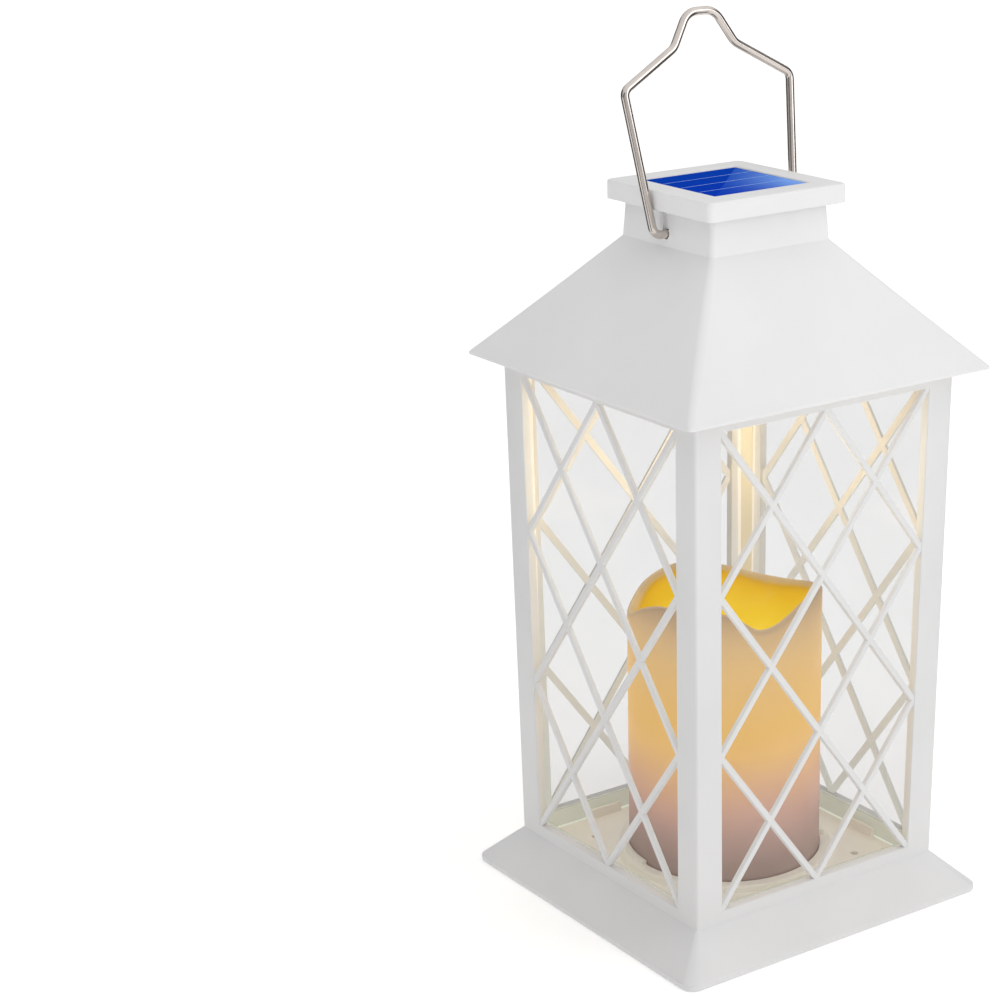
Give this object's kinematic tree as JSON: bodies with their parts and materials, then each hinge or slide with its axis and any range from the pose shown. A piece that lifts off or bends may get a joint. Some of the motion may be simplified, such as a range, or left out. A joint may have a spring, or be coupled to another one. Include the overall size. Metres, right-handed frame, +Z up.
{
  "type": "solar garden lantern",
  "caption": "Square hanging solar lantern with a pyramid roof, lattice windows, wire bail and a glowing imitation pillar candle inside.",
  "frame": {"origin": "centre of the base, on the plane the skirt rim stands on", "axes": "+Z up, -Y is the front window, the bail turns about X"},
  "size_m": [0.143, 0.143, 0.3414],
  "materials": {
    "body_plastic": "white moulded, satin",
    "roof_plastic": "white moulded, fine matte grain",
    "clear_sheet": "clear plastic sheet",
    "plated_steel": "nickel plated",
    "solar_cells": "blue cells under clear resin",
    "bail_wire": "polished nickel-plated wire",
    "tray_plastic": "off-white moulded",
    "candle_wax": "waxy, translucent, lit from inside",
    "circuit_board": "green solder mask",
    "led_lens": "amber lens",
    "cell_wrap": "shrink sleeve",
    "black_plastic": "moulded",
    "lead_insulation": "thin insulated wire"
  },
  "bodies": {
    "lantern": {"base_skirt": "body_plastic", "post_rear_right": "body_plastic", "post_rear_left": "body_plastic", "post_front_left": "body_plastic", "post_front_right": "body_plastic", "lattice_screen_front": "body_plastic", "lattice_screen_right": "body_plastic", "lattice_screen_rear": "body_plastic", "lattice_screen_left": "body_plastic", "window_pane_front": "clear_sheet", "window_pane_right": "clear_sheet", "window_pane_rear": "clear_sheet", "window_pane_left": "clear_sheet", "top_flange": "body_plastic", "roof_shell": "roof_plastic", "roof_screw_rear_right": "plated_steel", "roof_screw_rear_left": "plated_steel", "roof_screw_front_left": "plated_steel", "roof_screw_front_right": "plated_steel", "solar_cap": "roof_plastic", "solar_panel": "solar_cells", "floor_tray": "tray_plastic", "candle_shell": "candle_wax", "led_stand": "tray_plastic", "led_board": "circuit_board", "candle_led": "led_lens", "bottom_cover": "body_plastic", "cover_screw_rear_right": "plated_steel", "cover_screw_rear_left": "plated_steel", "cover_screw_front_left": "plated_steel", "cover_screw_front_right": "plated_steel", "battery_cell": "cell_wrap", "battery_contact_plate": "plated_steel", "battery_spring": "plated_steel", "switch_housing": "black_plastic", "control_board": "circuit_board", "solar_lead": "lead_insulation", "lead_duct_cover": "tray_plastic", "led_lead": "lead_insulation"},
    "bail": {"handle_bail": "bail_wire"},
    "switch_knob": {"switch_slider": "black_plastic"},
    "door": {"battery_door": "body_plastic", "battery_door_screw": "plated_steel"}
  },
  "joints": [
    {"name": "bail_swing", "type": "hinge", "parent": "lantern", "child": "bail", "pos_m": [0, 0, 0.2632], "axis": [1, 0, 0], "range_deg": [-92, 114]},
    {"name": "switch_slide", "type": "slide", "parent": "lantern", "child": "switch_knob", "axis": [1, 0, 0], "range_m": [0, 0.003]},
    {"name": "battery_door_lift", "type": "slide", "parent": "lantern", "child": "door", "axis": [0, 0, -1], "range_m": [0, 0.02]}
  ]
}
